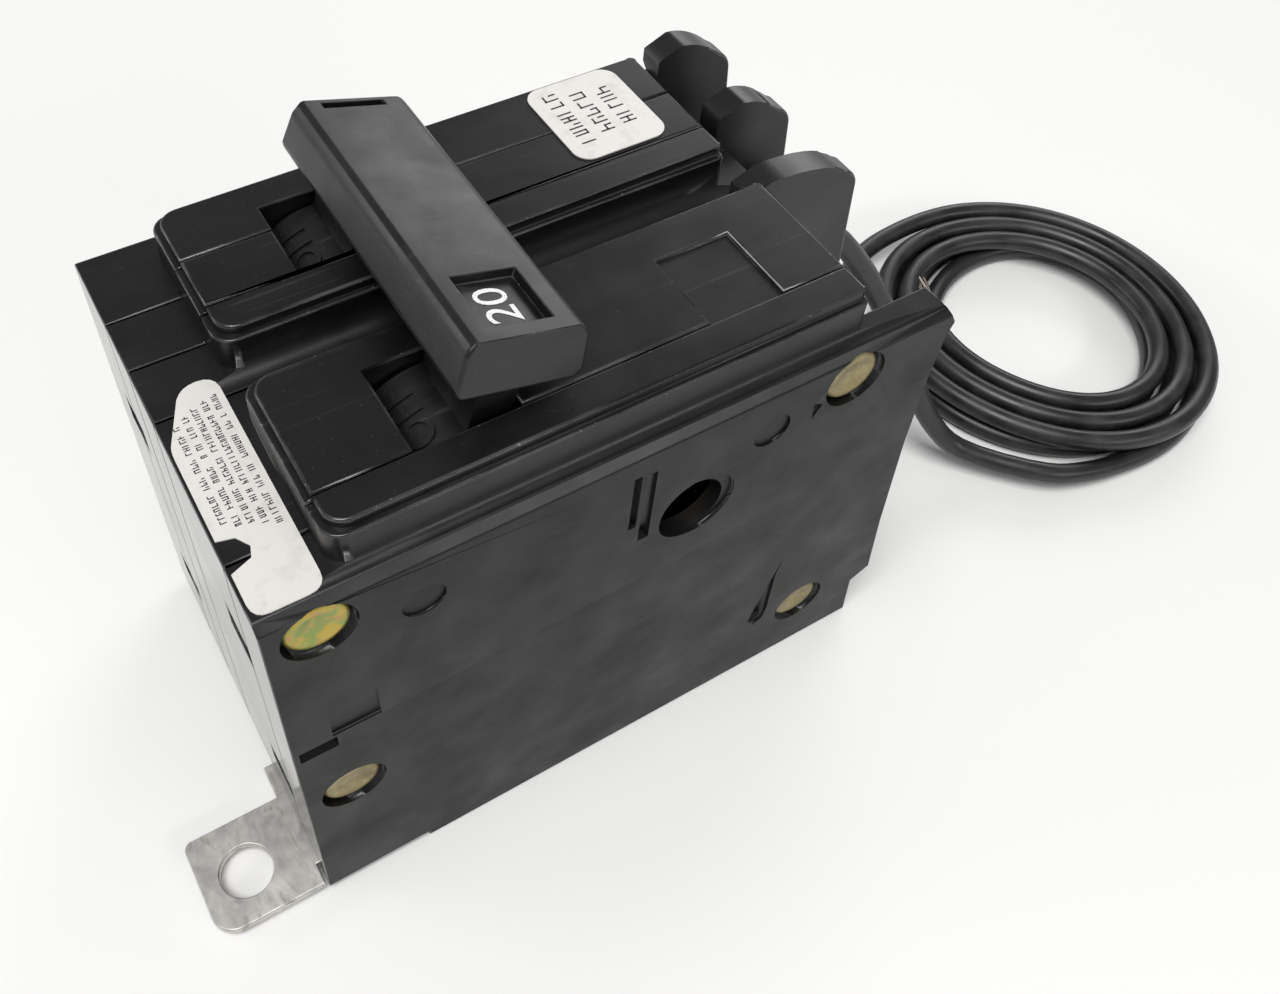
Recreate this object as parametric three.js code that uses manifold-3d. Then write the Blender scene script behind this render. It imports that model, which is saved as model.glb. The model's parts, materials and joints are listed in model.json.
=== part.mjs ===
// Bolt-on circuit breaker, one switching pole and one shunt-trip pole side by side, with a common
// handle bar and two coiled control leads.
//
// Frame: millimetres, +Z up out of the mounting face, +X from the line end to the load end, +Y from the
// switching pole to the shunt-trip pole. Every piece is drawn with X measured from the line-end face and
// Y from the boundary between the poles, and one group then moves them all to the part's origin, which is
// the centre of the bottom of the breaker's box.
import * as THREE from 'three';
import { mergeVertices } from 'three/addons/utils/BufferGeometryUtils.js';
import Module from 'manifold-3d';

const wasm = await Module();
wasm.setup();

// ---------------------------------------------------------------- driving dimensions
const poleWidth = 25.2;        // width of one pole
const bodyLength = 67;         // line-end face to the face that the terminal pockets start from
const nearTip = 78;            // end of the low outer barrier
const barrierTip = 83.5;       // end of the high barriers
const shoulderZ = 62.5;        // height of the shelf round the platforms
const platformZ = 67.4;        // height of the two platforms
const platformStart = 8.7;
const platformInset = 3.35;    // platform edge to the pole's side
const rimStep = 1.0;           // small step below each platform's top edge
const rimOut = 0.7;
const cornerR = 2.2;           // upright corners of the platforms
const wall = 2.4;              // moulded wall
const seam = 0.12;             // open joint between two shells
const clearance = 0.3;         // gap round pieces that fit into the shells
const coverPart = 7.3;         // depth of each outer cover shell
const spacerPart = 14.3;       // depth at which the shunt pole's spacer ends
const reliefZ = 1.0;           // the line end's bottom is this much higher
const reliefX = 13.4;
const pocketFloorZ = 36;
const barrierT = 3.4;          // barrier wall thickness
const nearBarrierT = 4.2;
const midBarrierY = 9.3;       // inner face of the middle barrier of the shunt pole
const shelfEnd = 71;           // the shunt pole's shelf runs on this far over its pockets
const shelfT = 5.5;
const blankDepth = 0.45;       // blank recess in the switching pole's platform
const cavityEndX = 60;
const cavityTopZ = 59.5;

const rivetShankR = 1.8;
const rivetHeadR = 3.2;
const rivetHeadT = 0.9;
const rivetSinkR = 3.75;
const rivetSinkDepth = 1.5;
const rivetBossR = 4.6;
const rivetSpots = [[5.3, 58], [5.5, 24.7], [65.1, 58.1], [68.4, 10.6]];

const pivotX = 24;             // handle pivot
const pivotZ = 57.5;
const drumR = 8.2;             // legend drum of the handle
const windowHalf = 5.5;        // half length of the pole window, along X
const windowInner = 7.4;       // window side nearer the pole boundary
const windowOuter = 17.9;
const stemHalf = 2.2;
const handleTilt = THREE.MathUtils.degToRad(16);
const barHalfY = 19.2;
const barTop = 20.4;           // bar top above the pivot, along the handle
const barBottom = 14.4;
const legReach = 11.5;         // handle legs below the pivot
const numberX = [-3.2, 3.7];   // number window and far slot, across the bar
const numberEdge = 2.5;        // bar end to the window
const numberLength = 6.9;
const numberDepth = 1.1;
const farSlotEdge = 1.5;
const farSlotWidth = 0.9;

const tabReach = 13.5;         // line tab beyond the end face
const tabT = 1.3;
const tabZ = 0.9;              // underside of the tab
const tabOuterY = 25.0;
const tabInnerY = 12.4;
const tabHoleR = 3.2;
const tabHoleX = -7.9;
const tabHoleY = -19.0;
const tabCornerR = 3;

const originShift = (barrierTip - tabReach) / 2;

const leadR = 1.6;
const coilX = 140;
const coilOuterR = 31.5;
const coilInnerR = 14.5;
const coilHeight = 6.8;
const bushingEndX = 68.6;

// ---------------------------------------------------------------- solids
const toSolid = (geometry) => {
  const bare = geometry.clone();
  bare.deleteAttribute('normal');
  if (bare.attributes.uv) bare.deleteAttribute('uv');
  const merged = mergeVertices(bare, 1e-4);
  return new wasm.Manifold(new wasm.Mesh({
    numProp: 3,
    vertProperties: new Float32Array(merged.attributes.position.array),
    triVerts: new Uint32Array(merged.index.array),
  }));
};

const toGeometry = (solid) => {
  const mesh = solid.getMesh();
  const geometry = new THREE.BufferGeometry();
  geometry.setAttribute('position', new THREE.BufferAttribute(new Float32Array(mesh.vertProperties), 3));
  geometry.setIndex(new THREE.BufferAttribute(new Uint32Array(mesh.triVerts), 1));
  geometry.computeVertexNormals();
  return geometry;
};

const union = (...solids) => solids.flat().reduce((whole, next) => whole.add(next));
const cut = (solid, ...tools) => tools.flat().reduce((left, tool) => left.subtract(tool), solid);

const box = (x0, x1, y0, y1, z0, z1) => {
  const geometry = new THREE.BoxGeometry(x1 - x0, y1 - y0, z1 - z0);
  geometry.translate((x0 + x1) / 2, (y0 + y1) / 2, (z0 + z1) / 2);
  return toSolid(geometry);
};

const rodY = (x, z, r, y0, y1, sides = 24) => {
  const geometry = new THREE.CylinderGeometry(r, r, y1 - y0, sides);
  geometry.translate(x, (y0 + y1) / 2, z);
  return toSolid(geometry);
};

const rodX = (y, z, r, x0, x1, sides = 24) => {
  const geometry = new THREE.CylinderGeometry(r, r, x1 - x0, sides);
  geometry.rotateZ(Math.PI / 2);
  geometry.translate((x0 + x1) / 2, y, z);
  return toSolid(geometry);
};

const rodZ = (x, y, r, z0, z1, sides = 24) => {
  const geometry = new THREE.CylinderGeometry(r, r, z1 - z0, sides);
  geometry.rotateX(Math.PI / 2);
  geometry.translate(x, y, (z0 + z1) / 2);
  return toSolid(geometry);
};

// An outline in X and Z, given as a Shape or a list of points, made a slab from y0 to y1.
const slabXZ = (outline, y0, y1, curveSegments = 8) => {
  const shape = Array.isArray(outline)
    ? new THREE.Shape(outline.map(([x, z]) => new THREE.Vector2(x, z)))
    : outline;
  const geometry = new THREE.ExtrudeGeometry(shape, { depth: y1 - y0, bevelEnabled: false, curveSegments });
  geometry.rotateX(Math.PI / 2);
  geometry.translate(0, y1, 0);
  return toSolid(geometry);
};

const roundedRect = (x0, x1, y0, y1, radii) => {
  const [a, b, c, d] = radii;  // corners at (x0, y0), (x1, y0), (x1, y1), (x0, y1)
  const shape = new THREE.Shape();
  shape.moveTo(x0 + a, y0);
  shape.lineTo(x1 - b, y0);
  if (b) shape.absarc(x1 - b, y0 + b, b, -Math.PI / 2, 0);
  shape.lineTo(x1, y1 - c);
  if (c) shape.absarc(x1 - c, y1 - c, c, 0, Math.PI / 2);
  shape.lineTo(x0 + d, y1);
  if (d) shape.absarc(x0 + d, y1 - d, d, Math.PI / 2, Math.PI);
  shape.lineTo(x0, y0 + a);
  if (a) shape.absarc(x0 + a, y0 + a, a, Math.PI, 1.5 * Math.PI);
  return shape;
};

// An outline in X and Y made a plate from z0 to z1.
const plateXY = (shape, z0, z1, curveSegments = 5) => {
  const geometry = new THREE.ExtrudeGeometry(shape, { depth: z1 - z0, bevelEnabled: false, curveSegments });
  geometry.translate(0, 0, z0);
  return toSolid(geometry);
};

// A round section swept along a list of points.
const sweep = (points, r, sides, steps) => {
  const curve = new THREE.CatmullRomCurve3(points.map((p) => new THREE.Vector3(...p)), false, 'centripetal');
  const section = new THREE.Shape();
  for (let i = 0; i < sides; i += 1) {
    const turn = (2 * Math.PI * i) / sides;
    if (i === 0) section.moveTo(r, 0);
    else section.lineTo(r * Math.cos(turn), r * Math.sin(turn));
  }
  section.closePath();
  return toSolid(new THREE.ExtrudeGeometry(section, { steps, bevelEnabled: false, extrudePath: curve }));
};

const coilSpring = (radius, wireR, turns, length, place) => {
  const points = [];
  const perTurn = 8;
  for (let i = 0; i <= turns * perTurn; i += 1) {
    const turn = (2 * Math.PI * i) / perTurn;
    const along = (length * i) / (turns * perTurn);
    points.push([radius * Math.cos(turn), radius * Math.sin(turn), along]);
  }
  const spring = sweep(points, wireR, 5, turns * perTurn);
  return spring.transform(place.elements.slice());
};

// ---------------------------------------------------------------- named meshes
const breaker = new THREE.Group();
breaker.position.x = -originShift;
const looks = {
  phenolic: { color: 0x1d1c1c, roughness: 0.45, metalness: 0 },
  fibre: { color: 0x8a4a2c, roughness: 0.8, metalness: 0 },
  tin: { color: 0xb9b9b4, roughness: 0.4, metalness: 1 },
  copper: { color: 0xb06a45, roughness: 0.35, metalness: 1 },
  silver: { color: 0xd8d6d0, roughness: 0.3, metalness: 1 },
  steel: { color: 0x8e9094, roughness: 0.45, metalness: 1 },
  brass: { color: 0xcdbf8a, roughness: 0.4, metalness: 1 },
  label: { color: 0xf1f0ea, roughness: 0.6, metalness: 0 },
  nylon: { color: 0xd9d2bd, roughness: 0.5, metalness: 0 },
  rubber: { color: 0x202020, roughness: 0.7, metalness: 0 },
};

const place = (name, solid, look) => {
  const mesh = new THREE.Mesh(toGeometry(solid), new THREE.MeshStandardMaterial(looks[look]));
  mesh.name = name;
  breaker.add(mesh);
};

// ---------------------------------------------------------------- case
// Side outline up to the shoulder; the load end bulges out low down, over a small foot.
const sideOutline = [
  [0, reliefZ], [reliefX, reliefZ], [reliefX, 0], [nearTip + 0.9, 0], [nearTip, 8.2], [nearTip + 2.7, 9.9],
  [nearTip + 1.2, 22], [nearTip - 0.4, 39.9], [nearTip - 0.8, 52.5], [nearTip - 0.6, 58.4],
  [nearTip, 60.3], [nearTip - 1.3, shoulderZ], [0, shoulderZ],
];

// A barrier rises above the shelf from startX on.
const barrierOutline = (startX) => {
  const root = bodyLength - 3;
  const shape = new THREE.Shape();
  shape.moveTo(root, pocketFloorZ - 6);
  shape.lineTo(nearTip + 2, pocketFloorZ - 6);
  shape.lineTo(barrierTip, 38);
  shape.lineTo(barrierTip, 46);
  shape.lineTo(barrierTip - 1.3, 60.5);
  shape.quadraticCurveTo(barrierTip - 1.4, 62.6, barrierTip - 3.2, 63.4);
  shape.quadraticCurveTo(nearTip - 1, platformZ - 1, startX + 3, platformZ - 0.9);
  shape.lineTo(startX, platformZ - 2.2);
  shape.lineTo(startX, shoulderZ - 1);
  shape.lineTo(root, shoulderZ - 1);
  shape.closePath();
  return shape;
};

const platform = (side) => {
  const y0 = side < 0 ? -poleWidth + platformInset : platformInset;
  const y1 = side < 0 ? -platformInset : poleWidth - platformInset;
  const radii = [cornerR, 0.8, 0.8, cornerR];
  const low = roundedRect(platformStart - rimOut, bodyLength, y0 - rimOut, y1 + rimOut, radii);
  const high = roundedRect(platformStart, bodyLength, y0, y1, radii);
  return [plateXY(low, shoulderZ - 1, platformZ - rimStep), plateXY(high, shoulderZ - 1, platformZ)];
};

const cavityTools = (side) => {
  const y0 = side < 0 ? -poleWidth + wall : wall;
  const y1 = side < 0 ? -wall : poleWidth - wall;
  const main = box(wall, cavityEndX, y0, y1, reliefZ + wall, cavityTopZ);
  const low = box(cavityEndX - 1, nearTip - wall - 0.6, y0, y1, 16, pocketFloorZ - 3);
  const bosses = rivetSpots.map(([x, z]) => rodY(x, z, rivetBossR, y0 - 1, y1 + 1));
  const drumRoom = rodY(pivotX, pivotZ, drumR + 0.4, side < 0 ? -windowOuter : windowInner,
    side < 0 ? -windowInner : windowOuter, 48);
  return [cut(union(main, low), bosses), drumRoom];
};

const windowTool = (side) => box(pivotX - windowHalf, pivotX + windowHalf,
  side < 0 ? -windowOuter : windowInner, side < 0 ? -windowInner : windowOuter, pivotZ, platformZ + 1);

const edgeCut = (side) => {
  const size = 1.0;
  const tool = new THREE.BoxGeometry(200, size * Math.SQRT2, size * Math.SQRT2);
  tool.rotateX(Math.PI / 4);
  tool.translate(0, side * poleWidth, shoulderZ);
  return toSolid(tool);
};

const rivetTools = rivetSpots.flatMap(([x, z]) => [
  rodY(x, z, rivetShankR + 0.15, -poleWidth - 1, poleWidth + 1),
  rodY(x, z, rivetSinkR, -poleWidth - 1, -poleWidth + rivetSinkDepth, 32),
  rodY(x, z, rivetSinkR, poleWidth - rivetSinkDepth, poleWidth + 1, 32),
]);

const tripBarX = 46;
const tripBarZ = 47.9;
const tripBarR = 2.5;
const sideMarks = (side) => {
  const y = side * poleWidth;
  const sink = (tool, depth) => tool(Math.min(y, y - side * depth) - (side < 0 ? 1 : 0),
    Math.max(y, y - side * depth) + (side < 0 ? 0 : 1));
  const marks = [
    sink((a, b) => rodY(15.3, 55.2, 2.3, a, b), 0.3),
    sink((a, b) => rodY(54.8, 55.9, 2.3, a, b), 0.3),
    sink((a, b) => box(39.3, 40.6, a, b, 47, 58.4), 1.0),
    sink((a, b) => box(37.9, 38.8, a, b, 50, 58.7), 0.7),
    sink((a, b) => slabXZ([[62.9, 25.4], [62.3, 22], [62.6, 14], [62.2, 11.6], [60.9, 10.9], [59.8, 12.4],
      [60.6, 17]], a, b), 1.2),
    sink((a, b) => box(0.7, 4.8, a, b, 35.6, 37.6), 1.4),
    sink((a, b) => box(4.4, 9.7, a, b, 38, 43.2), 0.4),
    sink((a, b) => slabXZ([[59.9, 57.2], [61.2, 56.4], [60.2, 54.6]], a, b), 0.8),
    sink((a, b) => rodY(tripBarX + 0.6, tripBarZ + 0.4, 4.7, a, b, 32), 0.5),
  ];
  if (side < 0) marks.push(rodY(tripBarX, tripBarZ, 4.1, y - 1, y + wall + 1, 32));
  return marks;
};

const strapInner = [-22.4, -8.0];
const uprightX = [11.2, 12.5];
const strapTools = [
  box(-1, uprightX[1] + clearance, strapInner[0] - clearance, strapInner[1] + clearance,
    -1, tabZ + tabT + clearance),
  box(uprightX[0] - clearance, uprightX[1] + clearance,
    strapInner[0] - clearance, strapInner[1] + clearance, tabZ, reliefZ + wall + 1),
];

const loadStrapZ = 38.4;
const loadStrapT = 1.6;
const loadStrapY = [-16.1, -9.1];
const bushingY = [1.2, 8.4];
const bushingZ = [47.4, 54.6];
const loadTools = [
  box(cavityEndX - 1, bodyLength + 1, loadStrapY[0] - clearance, loadStrapY[1] + clearance,
    loadStrapZ - clearance, loadStrapZ + loadStrapT + clearance),
  box(cavityEndX - 1, bodyLength + 1, bushingY[0] - clearance, bushingY[1] + clearance,
    bushingZ[0] - clearance, bushingZ[1] + clearance),
];

const pocketTop = platformZ + 10;
const shuntPocket = (y0, y1) => [
  box(bodyLength, shelfEnd + 1, y0, y1, pocketFloorZ, shoulderZ - shelfT),
  box(shelfEnd, barrierTip + 1, y0, y1, pocketFloorZ, pocketTop),
];
const pocketTools = [
  box(bodyLength, barrierTip + 1, -poleWidth + nearBarrierT, -barrierT, pocketFloorZ, pocketTop),
  shuntPocket(0, midBarrierY),
  shuntPocket(midBarrierY + barrierT, poleWidth - barrierT),
].flat();
const barriers = [
  slabXZ(barrierOutline(bodyLength - 1), -barrierT, 0),
  slabXZ(barrierOutline(shelfEnd), midBarrierY, midBarrierY + barrierT),
  slabXZ(barrierOutline(shelfEnd), poleWidth - barrierT, poleWidth),
];
const blankRecess = box(50.5, 59.3, -windowOuter, -8.2, platformZ - blankDepth, platformZ + 1);
const endVents = [-15, 15].flatMap((y) => [12, 44].map((z) => box(-1, 1.2, y - 3, y + 3, z, z + 4)));
const tripBarHole = rodY(tripBarX, tripBarZ, tripBarR + 0.4, -wall - 1, wall + 1);

const caseBlock = cut(
  union(slabXZ(sideOutline, -poleWidth, poleWidth), platform(-1), platform(1)),
  pocketTools,
);
const caseWhole = cut(
  union(caseBlock, barriers),
  edgeCut(-1), edgeCut(1), cavityTools(-1), cavityTools(1), windowTool(-1), windowTool(1), rivetTools,
  sideMarks(-1), sideMarks(1), strapTools, loadTools, blankRecess, endVents, tripBarHole,
);
const slice = (y0, y1) => caseWhole.intersect(box(-50, 150, y0, y1, -10, 100));
const gap = seam / 2;
place('breaker_pole_cover', slice(-poleWidth - 1, -poleWidth + coverPart - gap), 'phenolic');
place('breaker_pole_base', slice(-poleWidth + coverPart + gap, -gap), 'phenolic');
place('shunt_pole_cover', slice(gap, coverPart - gap), 'phenolic');
place('shunt_pole_spacer', slice(coverPart + gap, spacerPart - gap), 'phenolic');
place('shunt_pole_base', slice(spacerPart + gap, poleWidth + 1), 'phenolic');

// ---------------------------------------------------------------- rivets
const rivet = ([x, z]) => {
  const seat = poleWidth - rivetSinkDepth;
  const heads = [-1, 1].map((side) => {
    const a = side * (seat + 0.1);
    const b = side * (seat + 0.1 + rivetHeadT);
    return rodY(x, z, rivetHeadR, Math.min(a, b), Math.max(a, b), 32);
  });
  return union(rodY(x, z, rivetShankR, -seat - 0.2, seat + 0.2, 16), heads);
};
rivetSpots.forEach((spot, i) => place(`rivet_${i + 1}`, rivet(spot), 'brass'));

// ---------------------------------------------------------------- handle
// Drawn upright about its pivot and then leaned towards the load end, which is the OFF position.
const barSection = [
  [-5.3, barTop], [5.8, barTop], [7.0, barTop - 1.1], [7.4, barBottom + 0.9], [6.4, barBottom],
  [-5.6, barBottom], [-6.2, barBottom + 0.8], [-5.9, barTop - 1.3],
];
const handle = () => {
  const bar = slabXZ(barSection, -barHalfY, barHalfY);
  const ends = [-1, 1].map((side) => {
    const wedge = new THREE.BoxGeometry(40, 4, 14);
    wedge.rotateX(side * 0.14);
    wedge.translate(0, side * (barHalfY + 2 - 0.45), (barTop + barBottom) / 2);
    return toSolid(wedge);
  });
  const stems = [-1, 1].map((side) => {
    const mid = (side * (windowInner + windowOuter)) / 2;
    const half = (windowOuter - windowInner) / 2 - clearance;
    const drum = rodY(0, 0, drumR, mid - half, mid + half, 64);
    const stem = box(-stemHalf, stemHalf, mid - half + 0.4, mid + half - 0.4, 2, barBottom + 1);
    const legs = [-1, 1].map((leg) => {
      const outer = mid + leg * half;
      const inner = mid + leg * (half - 1.4);
      return slabXZ([[-2.6, 0], [2.6, 0], [1.5, -legReach], [-1.5, -legReach]],
        Math.min(outer, inner), Math.max(outer, inner));
    });
    return union(drum, stem, legs);
  });
  const numberWindow = box(numberX[0], numberX[1],
    -barHalfY + numberEdge, -barHalfY + numberEdge + numberLength, barTop - numberDepth, barTop + 1);
  const farSlot = box(numberX[0], numberX[1], barHalfY - farSlotEdge - farSlotWidth, barHalfY - farSlotEdge,
    barTop - numberDepth, barTop + 1);
  const whole = cut(union(cut(bar, ends), stems), numberWindow, farSlot);
  const turn = new THREE.Matrix4().makeRotationY(handleTilt);
  const move = new THREE.Matrix4().makeTranslation(pivotX, 0, pivotZ).multiply(turn);
  return whole.transform(move.elements.slice());
};
place('handle_bar', handle(), 'phenolic');

// ---------------------------------------------------------------- labels
const labelT = 0.15;
const labelGap = 0.05;
const ratingLabel = () => {
  const shape = new THREE.Shape();
  shape.moveTo(1.9, -24);
  shape.lineTo(5.4, -24);
  shape.quadraticCurveTo(7.1, -24, 7.1, -22.3);
  shape.lineTo(7.1, 1.2);
  shape.quadraticCurveTo(7.0, 2.9, 5.2, 2.9);
  shape.quadraticCurveTo(3.7, 2.9, 2.9, 1.6);
  shape.lineTo(0.6, -3.4);
  shape.quadraticCurveTo(0.35, -4, 0.35, -5);
  shape.lineTo(0.35, -15.2);
  shape.lineTo(2.0, -15.6);
  shape.lineTo(2.9, -17.0);
  shape.lineTo(2.5, -18.2);
  shape.lineTo(0.35, -19.0);
  shape.lineTo(0.35, -22.4);
  shape.quadraticCurveTo(0.4, -24, 1.9, -24);
  return plateXY(shape, shoulderZ + labelGap, shoulderZ + labelGap + labelT, 4);
};
place('rating_label', ratingLabel(), 'label');
place('pole_label', plateXY(roundedRect(51.6, 63.2, 8, 21.4, [2, 2, 2, 2]), platformZ + labelGap,
  platformZ + labelGap + labelT), 'label');

// ---------------------------------------------------------------- line terminal and contacts
const contactZ = 31;
const lineTerminal = () => {
  const tab = plateXY(roundedRect(-tabReach, -clearance, -tabOuterY, -tabInnerY, [tabCornerR, 0, 0, 1.2]),
    tabZ, tabZ + tabT);
  const run = box(-clearance - 1, uprightX[1], strapInner[0], strapInner[1], tabZ, tabZ + tabT);
  const upright = box(uprightX[0], uprightX[1], strapInner[0] + 5, strapInner[1], tabZ, contactZ + 3.4);
  return cut(union(tab, run, upright), rodZ(tabHoleX, tabHoleY, tabHoleR, -1, 5, 40));
};
place('line_terminal', lineTerminal(), 'tin');
const armY = -12.6;
place('fixed_contact', rodX(armY, contactZ, 2.6, uprightX[1] + 0.1, 14.5, 20), 'silver');

// The arm swings about a fixed point that stands for its moving end on the handle.
const armPivotX = 23.2;
const armPivotZ = 41.9;
const armTilt = THREE.MathUtils.degToRad(-13.4);
const armHalfY = 2.8;
const armPlace = new THREE.Matrix4().makeTranslation(armPivotX, 0, armPivotZ)
  .multiply(new THREE.Matrix4().makeRotationY(armTilt));
const armOutline = [[-0.8, 6.6], [0.8, 6.6], [0.8, -15], [-0.8, -15]];
const contactArm = slabXZ(armOutline, armY - armHalfY, armY + armHalfY)
  .transform(armPlace.elements.slice());
place('contact_arm', contactArm, 'copper');
place('moving_contact', rodX(armY, -12, 2.4, -2.2, -0.9, 20).transform(armPlace.elements.slice()), 'silver');

[6.5, 10.5, 14.5, 18.5, 22.5].forEach((z, i) => place(`arc_plate_${i + 1}`, cut(
  box(14.2, 31, -19.4, -6.6, z, z + 1),
  slabXZ([[14, z - 1], [14, z + 2], [22, z + 2], [22, z - 1]], armY - 2.2, armY + 2.2),
), 'steel'));
[[-20.6, -19.7], [-6.3, -5.4]].forEach(([a, b], i) => place(`arc_plate_holder_${i + 1}`,
  box(13.8, 31.4, a, b, 4.6, 25.6), 'fibre'));

// ---------------------------------------------------------------- trip mechanism
const cradlePivot = [34, 52];
const cradleY = [-19.8, -18.6];
const cradleOutline = [[31.5, 54.6], [36.6, 54.6], [38, 49], [46, 42.9], [50.4, 44.2], [50.4, 42.3], [45, 39.5],
  [36, 44], [31.5, 49]];
place('cradle', cut(
  union(slabXZ(cradleOutline, ...cradleY), box(49.2, 50.4, cradleY[1] - 0.1, -14.2, 42.7, 43.9)),
  rodY(...cradlePivot, 1.3, -21, -18),
), 'steel');
place('cradle_pin', rodY(...cradlePivot, 1.2, -poleWidth + wall + 0.1, -18.2, 16), 'steel');

const toggleFrom = new THREE.Vector3(30.3, -16.4, 31);
const toggleTo = new THREE.Vector3(36.5, -16.4, 47);
const toggleAxis = toggleTo.clone().sub(toggleFrom);
const togglePlace = new THREE.Matrix4().makeTranslation(toggleFrom.x, toggleFrom.y, toggleFrom.z).multiply(
  new THREE.Matrix4().makeRotationFromQuaternion(
    new THREE.Quaternion().setFromUnitVectors(new THREE.Vector3(0, 0, 1), toggleAxis.clone().normalize()),
  ),
);
place('toggle_spring', coilSpring(1.5, 0.3, 10, toggleAxis.length(), togglePlace), 'steel');

const armatureX = [51, 52.2];
const armatureTopZ = 46;
place('armature', box(...armatureX, -17, -8, 24, armatureTopZ), 'steel');
const armatureSpringPlace = new THREE.Matrix4().makeTranslation(52.6, -12.6, 44)
  .multiply(new THREE.Matrix4().makeRotationY(Math.PI / 2));
place('armature_spring', coilSpring(1.2, 0.25, 4, 2.6, armatureSpringPlace), 'steel');
const yokeX = [54.6, 58.9];
place('magnet_yoke', union(
  box(57.8, yokeX[1], -17, -8, 23, 34),
  box(yokeX[0], 57.9, -17, -15.8, 23, 34),
  box(yokeX[0], 57.9, -9.2, -8, 23, 34),
), 'steel');
place('bimetal_strip', box(56.4, 57.3, -15.2, -9.8, 22, 51), 'brass');
const loadStrap = union(
  box(58.1, 59.5, ...loadStrapY, loadStrapZ, 51),
  box(57.4, 58.2, -15.2, -9.8, 46.5, 51),
  box(58.1, 77.2, ...loadStrapY, loadStrapZ, loadStrapZ + loadStrapT),
);
place('load_strap', loadStrap, 'copper');
place('flexible_braid', sweep([[24.8, -8.2, 40.5], [28.5, -5.6, 36], [33.5, -4.6, 27], [39, -4.6, 17.5],
  [46, -5.2, 14.2], [52.5, -8, 15], [56.2, -11.6, 17.4], [56.9, -12.5, 21.4]], 1.1, 8, 24), 'copper');

// ---------------------------------------------------------------- load terminal
const lugX = [69, 76.6];
const lugY = [-18, -7.2];
const lugZ = [36.4, 50.2];
const lugT = 1.5;
const screwX = (lugX[0] + lugX[1]) / 2;
const screwY = (lugY[0] + lugY[1]) / 2;
const screwR = 3;
place('terminal_lug', cut(
  box(...lugX, ...lugY, ...lugZ),
  box(lugX[0] - 1, lugX[1] + 1, lugY[0] + lugT, lugY[1] - lugT, lugZ[0] + lugT, lugZ[1] - 2 * lugT),
  rodZ(screwX, screwY, screwR + 0.2, lugZ[1] - 5, lugZ[1] + 1),
), 'tin');
place('lug_screw', cut(
  rodZ(screwX, screwY, screwR, 45.9, 56),
  box(screwX - 5, screwX + 5, screwY - 0.5, screwY + 0.5, 54.4, 57),
), 'steel');

// ---------------------------------------------------------------- common trip bar
place('trip_bar', union(
  rodY(tripBarX, tripBarZ, tripBarR, -20.9, 20, 20),
  slabXZ([[tripBarX - 1.5, tripBarZ], [tripBarX + 2, tripBarZ - 1], [50.4, 40.5], [50.4, 38.6], [49.2, 38.6]],
    -13.8, -11),
  slabXZ([[tripBarX - 0.9, tripBarZ], [tripBarX + 0.9, tripBarZ], [tripBarX + 0.9, 21.5], [tripBarX - 0.9, 21.5]],
    11, 14.2),
), 'nylon');

// ---------------------------------------------------------------- shunt coil
const coilAxis = [12.6, 24];
const frameT = 1.2;
const frameX = [19, 42.4];
const onAxis = (r, x0, x1, sides = 28) => rodX(...coilAxis, r, x0, x1, sides);
place('solenoid_frame', cut(
  union(
    box(frameX[0], frameX[0] + frameT, 4.6, 20.6, 14, 33),
    box(frameX[1] - frameT, frameX[1], 4.6, 20.6, 14, 33),
    box(...frameX, 4.6, 20.6, 14, 14 + frameT),
  ),
  onAxis(3.4, frameX[0] - 1, frameX[0] + 3),
  onAxis(1.7, frameX[1] - 3, frameX[1] + 1),
), 'steel');
place('solenoid_bobbin', cut(
  union(onAxis(8.2, 20.5, 21.9), onAxis(8.2, 39.5, 40.9), onAxis(4.2, 21, 40)),
  onAxis(3.3, 20, 41.5),
), 'nylon');
place('solenoid_winding', cut(onAxis(7.6, 22.2, 39.2), onAxis(4.5, 22, 40)), 'copper');
place('solenoid_plunger', union(
  onAxis(2.9, 17, 36, 20), onAxis(1.3, 10.5, 18, 12), onAxis(1.3, 35, 44.8, 12), onAxis(2.9, 11.6, 12.8, 20),
), 'steel');
const plungerSpringPlace = new THREE.Matrix4().makeTranslation(15.9, coilAxis[0], coilAxis[1])
  .multiply(new THREE.Matrix4().makeRotationY(Math.PI / 2));
place('plunger_spring', coilSpring(3.6, 0.3, 3, 2.5, plungerSpringPlace), 'steel');

place('cutoff_switch_block', box(8, 16.5, 5, 20, 33, 42), 'fibre');
[8.5, 15.5].forEach((y, i) => place(`cutoff_switch_blade_${i + 1}`, union(
  box(12, 12.8, y - 1.5, y + 1.5, 42.2, 48.5),
  box(12, 16.4, y - 1.5, y + 1.5, 47.7, 48.5),
), 'brass'));

// ---------------------------------------------------------------- leads
const bushing = union(
  box(cavityEndX + 0.4, bodyLength + 0.5, ...bushingY, ...bushingZ),
  box(bodyLength + clearance, bushingEndX, bushingY[0] - 0.7, bushingY[1] + 0.6,
    bushingZ[0] - 0.8, bushingZ[1] + 0.8),
);
place('lead_bushing', bushing, 'rubber');
const leadInY = [3.1, 6.5];
leadInY.forEach((y, i) => place(`inner_wire_${i + 1}`, sweep(
  [[cavityEndX, y + 0.5, 51], [54, y + 0.5, 51.6], [47.5, y + 0.5, 54.2], [36, y + 1, 52],
    [26, 6.4 + 5 * i, 44.6], [17.2, 8.5 + 7 * i, 40]],
  0.9, 6, 14,
), 'rubber'));

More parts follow.
